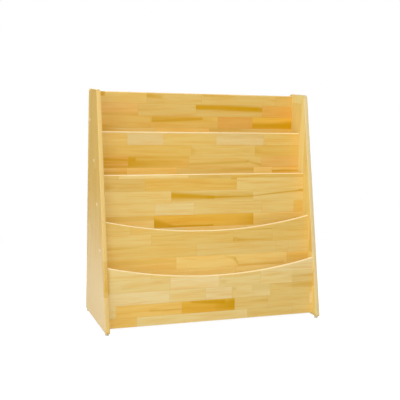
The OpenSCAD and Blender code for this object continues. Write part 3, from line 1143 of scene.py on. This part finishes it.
FRONT_ROWS = (
    # The first stave's streak at its very end darkens the panel next to the left side: painted shadow
    row((150, P, (0, 3, 0, 70, 0, 70, 0.5, 0.5)), (560, S), (770, M)),
    row(
        # The second streak of the first stave darkens the panel next to the left side: painted shadow
        (220, P, (50, 110, 72, 77, 72, 77, 0.24, 0.12), (0, 3, 30, 110, 30, 110, 0.45, 0.45)), (400, M),
        (560, P, (410, 424, 64, 78, 64, 78, 0.18, 0.18)),
        # The last streak here and the last one in the next row darken the panel towards its right end
        (770, P, (680, 770, 62, 70, 60, 68, 0.12, 0.36), (690, 770, 46, 130, 46, 130, 0.25, 0.25)),
    ),
    row(
        (217, M), (350, P), (450, M),
        (600, P, (450, 463, 92, 104, 92, 104, 0.24, 0.24), (530, 600, 84, 112, 84, 112, 0.2, 0.2)),
        (770, S, (620, 770, 90, 98, 90, 112, 0.12, 0.36), (690, 770, 60, 122, 60, 122, 0.15, 0.15)),
    ),
    row(
        (28, P), (262, B, (150, 262, 152, 158, 154, 160, 0.42, 0.48)),
        (460, A, (300, 420, 130, 140, 132, 152, 0.54, 0.9), (390, 460, 142, 172, 126, 180, 0.3, 0.9),
         (262, 460, 130, 176, 130, 176, 0.18, 0.42)),
        (590, S, (530, 590, 142, 152, 142, 152, 0.18, 0.24)), (758, S), (770, M),
    ),
    row((100, B), (510, P), (690, S), (770, S)),
)


@dataclass
class Carcass:
    """The two sides and the rail that ties them together low at the back."""

    left_finish: Material
    right_finish: Material
    shelf_finish: Material
    stave_width: float = 40 * MM
    side_glue_line: float = 25 * MM
    rail_glue_line: float = 31 * MM

    def build(self) -> None:
        """Builds the sides and the rail."""
        for node, finish, seed, rows in (
            ("left_side_panel", self.left_finish, 11, LEFT_SIDE_ROWS),
            ("right_side_panel", self.right_finish, 12, RIGHT_SIDE_ROWS),
        ):
            width, line = self.stave_width, self.side_glue_line
            SidePanel(node, finish, "side_wood", seed, width, line, rows).build()
        PlainBoard("rear_rail", self.shelf_finish, "shelf_wood", 13, glue_line=self.rail_glue_line).build()


@dataclass
class BookDisplay:
    """The five stepped panels and the four pocket floors between them."""

    panel_finish: Material
    shelf_finish: Material
    # Each panel's node and seed, its staves' width and the place of one glue line in mm, its rows, the dip
    # of its top edge in mm, its screws, and how far its edges show their own colour, partly a painted
    # highlight
    panels: tuple[tuple[str, int, float, float, Rows, float, int, float], ...] = (
        ("top_back_panel", 21, 43.5, 40, TOP_BACK_ROWS, 0, 4, 0.55),
        ("upper_display_panel", 22, 40, 47, UPPER_DISPLAY_ROWS, 0, 4, 1.0),
        ("middle_display_panel", 23, 43.3, 15, MIDDLE_DISPLAY_ROWS, 0, 4, 1.0),
        ("lower_display_panel", 24, 43, 4, LOWER_DISPLAY_ROWS, 43, 4, 1.0),
        ("front_panel", 25, 43, 45, FRONT_ROWS, 44.5, 0, 1.0),
    )
    first_floor_seed: int = 30
    floor_glue_line: float = 36 * MM

    def build(self) -> None:
        """Builds the panels and the pocket floors."""
        for node, seed, width, line, rows, dip, screws, edge_share in self.panels:
            DisplayPanel(
                node, self.panel_finish, "panel_wood", seed, width * MM, line * MM, rows,
                edge_share=edge_share, dip=dip * MM, screws=screws,
            ).build()
        for seed, place in enumerate(("top", "upper", "lower", "front"), self.first_floor_seed):
            node = place + "_pocket_shelf"
            PocketShelf(node, self.shelf_finish, "shelf_wood", seed, glue_line=self.floor_glue_line).build()


@dataclass
class Fastenings:
    """The dowels, screws, caps and glides, which keep the frame's own shapes."""

    dowel: TurnedWood = TurnedWood("turned_beech_dowel", light="D2A96B", dark="BC8C4F")
    cap: TurnedWood = TurnedWood("turned_birch_cap", light="F3E0B4", dark="E4C48A")
    screw: ZincPlatedSteel = ZincPlatedSteel("zinc_plated_steel_screw")
    glide: MouldedNylon = MouldedNylon("moulded_nylon_glide")

    def build(self) -> None:
        """Gives each of them its finish."""
        finishes = {"_dowels": self.dowel, "_caps": self.cap, "_screws": self.screw, "_glide": self.glide}
        for ending, finish in finishes.items():
            material = finish.build()
            for node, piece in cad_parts.items():
                if node.endswith(ending):
                    piece.data.materials.clear()
                    piece.data.materials.append(material)
                    LOG.info("%s: %s", node, material.name)


@dataclass
class Studio:
    """A plain white sweep, soft boxes and the camera."""

    floor_half: float = 6.0
    # The floor's shadow fades out between these distances from the shelf's middle
    shadow_near: float = 0.6
    shadow_far: float = 1.5
    # Near the shelf the floor glows nearly white, and its grey adds the rest and takes the shadow
    glow: float = 0.9
    grey: float = 0.25
    # What the floor gives back to the shelf
    bounce: float = 0.5
    # The even light all round, of which the boxes are the stronger part
    fill: float = 0.17
    # The soft boxes' names, places and watts
    boxes: tuple[tuple[str, Place, float], ...] = (
        ("key_box", (-0.4, -3.2, 1.5), 55),
        ("near_left_box", (-2.3, -2.3, 1.6), 23),
        ("left_box", (-3.3, -0.5, 0.8), 44),
        ("top_box", (0.0, -0.3, 2.8), 24),
        ("right_box", (3.2, 0.4, 1.2), 46),
        ("back_box", (0.6, 3.0, 1.2), 48),
    )
    box_size: float = 1.6
    # Where the boxes point
    aim: Place = (0.0, 0.0, 0.4)
    # The camera's place and turn were fitted to the shelf's edges in the photograph
    camera_place: Place = (-0.9911, -2.5487, 0.8622)
    yaw: float = 0.3619
    pitch: float = 0.1591
    roll: float = 0.036
    lens_mm: float = 69.57
    sensor_mm: float = 36

    def build(self) -> None:
        """Builds the floor, the light and the camera."""
        self.add_floor()
        self.set_world()
        for box in self.boxes:
            self.add_soft_box(*box)
        self.add_camera()

    def add_floor(self) -> None:
        """Lays a white floor that keeps the shelf's shadow and otherwise shows as plain white."""
        mesh = bmesh.new()
        bmesh.ops.create_grid(mesh, x_segments=1, y_segments=1, size=self.floor_half)
        floor = new_piece("floor", mesh)
        material, add = new_material("white_sweep")
        # The camera sees most of the floor as plain white, and the rest of it keeps a faint shadow
        away = add("VectorMath", {0: add("TexCoord").outputs["Object"]}, operation="LENGTH")
        span = {"Value": away, "From Min": self.shadow_near, "From Max": self.shadow_far}
        beyond = add("MapRange", span, interpolation_type="SMOOTHSTEP")
        dim, paint = (add("BsdfDiffuse", {"Color": (v, v, v, 1)}) for v in (self.grey, self.bounce))
        near = add("AddShader", {0: add("Emission", {"Strength": self.glow}), 1: dim})
        lit = add("MixShader", {0: beyond, 1: near, 2: add("Emission", {"Strength": 1.0})})
        both = add("MixShader", {0: self.seen_directly(add), 1: paint, 2: lit})
        add("OutputMaterial", {"Surface": both})
        floor.data.materials.append(material)

    def seen_directly(self, add: Adder) -> Node:
        """Says 1 for what the camera sees itself or in a gloss or through glass, and 0 for light.

        Args:
            add: what adds a node.

        Returns:
            The node that says it.
        """
        rays = add("LightPath").outputs
        mirrored = {0: rays["Is Glossy Ray"], 1: rays["Is Transmission Ray"]}
        seen = {0: rays["Is Camera Ray"], 1: add("Math", mirrored, operation="MAXIMUM")}
        return add("Math", seen, operation="MAXIMUM")

    def set_world(self) -> None:
        """Sets a soft even light all round, and plain white behind the shelf."""
        world = bpy.data.worlds.new("studio")
        bpy.context.scene.world = world
        world.use_nodes = True
        world.node_tree.nodes.clear()
        add = partial(add_node, world.node_tree)
        strength = add("MapRange", {"Value": self.seen_directly(add), "To Min": self.fill, "To Max": 1.0})
        light = add("Background", {"Color": (1, 1, 1, 1), "Strength": strength})
        add("OutputWorld", {"Surface": light})

    def add_soft_box(self, name: str, place: Place, power: float) -> None:
        """Hangs a square soft box that points at the shelf's middle.

        Args:
            name: its name.
            place: where it hangs.
            power: its power, in watts.
        """
        data = bpy.data.lights.new(name, "AREA")
        data.size = self.box_size
        data.energy = power
        box = bpy.data.objects.new(name, data)
        box.location = place
        box.rotation_mode = "QUATERNION"
        box.rotation_quaternion = (Vector(self.aim) - Vector(place)).to_track_quat("-Z", "Y")
        bpy.context.scene.collection.objects.link(box)

    def add_camera(self) -> None:
        """Sets up the camera where the photograph was taken from."""
        data = bpy.data.cameras.new("camera")
        data.sensor_width = self.sensor_mm
        data.lens = self.lens_mm
        camera = bpy.data.objects.new("camera", data)
        level = Matrix.Rotation(-self.yaw, 4, "Z") @ Matrix.Rotation(math.radians(90) - self.pitch, 4, "X")
        turned = level @ Matrix.Rotation(self.roll, 4, "Z")
        camera.matrix_world = Matrix.Translation(self.camera_place) @ turned
        bpy.context.scene.collection.objects.link(camera)
        bpy.context.scene.camera = camera


def main() -> None:
    """Builds the shelf's dress piece by piece, then the studio."""
    logging.basicConfig(level=logging.INFO, format="%(message)s")
    bpy.context.scene.view_settings.view_transform = "Standard"
    # The sides' edge colours are darker than the panels', holding down the light that the lamps throw on
    # their front arrises: painted shade
    left_pine = LacqueredPine(
        # The left side carries a painted reflection of the white floor on its faces towards the foot
        "lacquered_pine_left", sheen=0.01, edge_paleness=0.75, edge="DDBE7A", painted_glare=1.0
    ).build()
    right_pine = LacqueredPine(
        "lacquered_pine_right", sheen=0.01, edge_paleness=0.9, edge="DFC894", cloud_depth=0.3
    ).build()
    panel_pine = LacqueredPine("lacquered_pine_panel", edge_paleness=0.75).build()
    shelf_pine = LacqueredPine("lacquered_pine_shelf").build()
    Carcass(left_pine, right_pine, shelf_pine).build()
    BookDisplay(panel_pine, shelf_pine).build()
    Fastenings().build()
    Studio().build()


if __name__ == "__main__":
    main()
